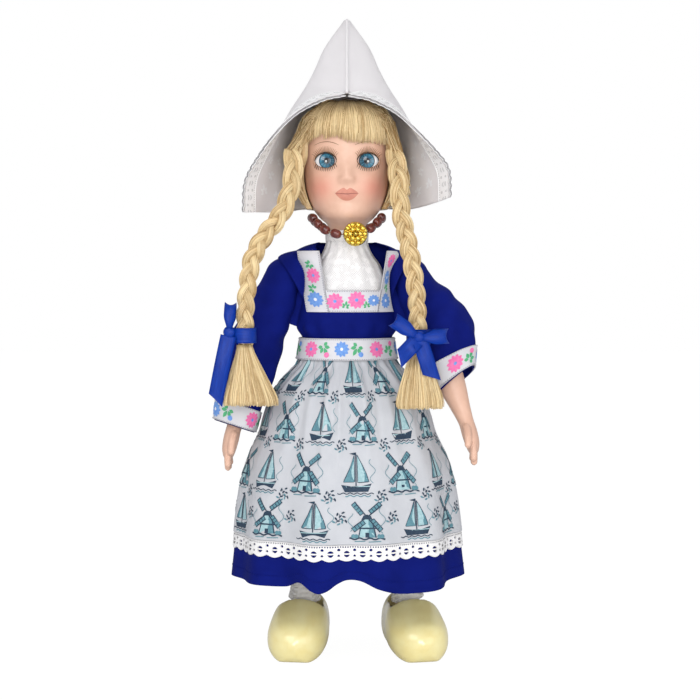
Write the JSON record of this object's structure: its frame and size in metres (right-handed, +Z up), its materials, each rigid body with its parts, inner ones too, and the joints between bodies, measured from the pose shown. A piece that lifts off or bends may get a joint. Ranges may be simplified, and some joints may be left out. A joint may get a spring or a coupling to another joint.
{
  "type": "costume doll",
  "caption": "Standing bisque-headed cloth doll in folk costume: winged pointed cap, plaited hair with bows, blue dress, printed apron and wooden clogs; arms, legs and plaits swing.",
  "frame": {"origin": "on the floor under the middle of the doll, at the bottom centre of its bounding box", "axes": "+Z up; the doll faces -Y; its own left hand is at +X"},
  "size_m": [0.1288, 0.0998, 0.3092],
  "materials": {
    "bisque": "unglazed matte bisque with blush",
    "glass_eye": "blown glass, polished",
    "plaster": "rough",
    "card": "pressed card",
    "hair": "combed blonde mohair",
    "cap_cloth": "starched white cotton",
    "lace": "white cotton lace",
    "body_cloth": "plain unbleached cotton",
    "filling": "loose fibre filling",
    "dress_cloth": "royal blue cotton",
    "apron_cloth": "printed cotton",
    "ribbon_trim": "woven flowered ribbon",
    "satin": "blue satin ribbon",
    "bead": "polished dark red",
    "gold": "gilt filigree",
    "cord": "twisted thread",
    "wool": "ribbed knit",
    "clog_wood": "varnished pale wood"
  },
  "bodies": {
    "torso": {"shoulder_head": "bisque", "eye_right": "glass_eye", "eye_left": "glass_eye", "eye_setting": "plaster", "crown_pate": "card", "hair_cap": "hair", "fringe": "hair", "cap_body": "cap_cloth", "cap_lace": "lace", "cloth_body": "body_cloth", "body_filling": "filling", "bodice": "dress_cloth", "dickey": "lace", "neck_trim": "ribbon_trim", "neck_band": "lace", "necklace_cord": "cord", "necklace_beads": "bead", "necklace_clasp": "gold", "skirt": "dress_cloth", "apron": "apron_cloth", "apron_lace": "lace", "waistband": "ribbon_trim"},
    "shoulder_tab_right": {"shoulder_tab_right": "body_cloth"},
    "shoulder_tab_left": {"shoulder_tab_left": "body_cloth"},
    "arm_right": {"upper_arm_right": "body_cloth", "arm_tie_right": "cord", "forearm_right": "bisque", "sleeve_right": "dress_cloth", "cuff_trim_right": "ribbon_trim"},
    "arm_left": {"upper_arm_left": "body_cloth", "arm_tie_left": "cord", "forearm_left": "bisque", "sleeve_left": "dress_cloth", "cuff_trim_left": "ribbon_trim"},
    "leg_right": {"upper_leg_right": "body_cloth", "leg_tie_right": "cord", "lower_leg_right": "bisque", "sock_right": "wool", "clog_right": "clog_wood"},
    "leg_left": {"upper_leg_left": "body_cloth", "leg_tie_left": "cord", "lower_leg_left": "bisque", "sock_left": "wool", "clog_left": "clog_wood"},
    "braid_right": {"plait_right": "hair", "tassel_right": "hair", "bow_right": "satin"},
    "braid_left": {"plait_left": "hair", "tassel_left": "hair", "bow_left": "satin"}
  },
  "joints": [
    {"name": "shoulder_swing_right", "type": "hinge", "parent": "torso", "child": "shoulder_tab_right", "pos_m": [-0.031, 0, 0.185], "axis": [-1, 0, 0], "range_deg": [-50, 4]},
    {"name": "shoulder_raise_right", "type": "hinge", "parent": "shoulder_tab_right", "child": "arm_right", "pos_m": [-0.031, 0, 0.185], "axis": [0, 1, 0], "range_deg": [0, 60]},
    {"name": "shoulder_swing_left", "type": "hinge", "parent": "torso", "child": "shoulder_tab_left", "pos_m": [0.031, 0, 0.185], "axis": [-1, 0, 0], "range_deg": [-50, 4]},
    {"name": "shoulder_raise_left", "type": "hinge", "parent": "shoulder_tab_left", "child": "arm_left", "pos_m": [0.031, 0, 0.185], "axis": [0, -1, 0], "range_deg": [0, 60]},
    {"name": "hip_right", "type": "hinge", "parent": "torso", "child": "leg_right", "pos_m": [-0.014, 0, 0.118], "axis": [-1, 0, 0], "range_deg": [-12, 10]},
    {"name": "hip_left", "type": "hinge", "parent": "torso", "child": "leg_left", "pos_m": [0.014, 0, 0.118], "axis": [-1, 0, 0], "range_deg": [-12, 10]},
    {"name": "braid_swing_right", "type": "hinge", "parent": "torso", "child": "braid_right", "pos_m": [-0.0254, -0.0163, 0.2446], "axis": [-1, 0, 0], "range_deg": [0, 35]},
    {"name": "braid_swing_left", "type": "hinge", "parent": "torso", "child": "braid_left", "pos_m": [0.0229, -0.0142, 0.2446], "axis": [-1, 0, 0], "range_deg": [0, 35]}
  ]
}
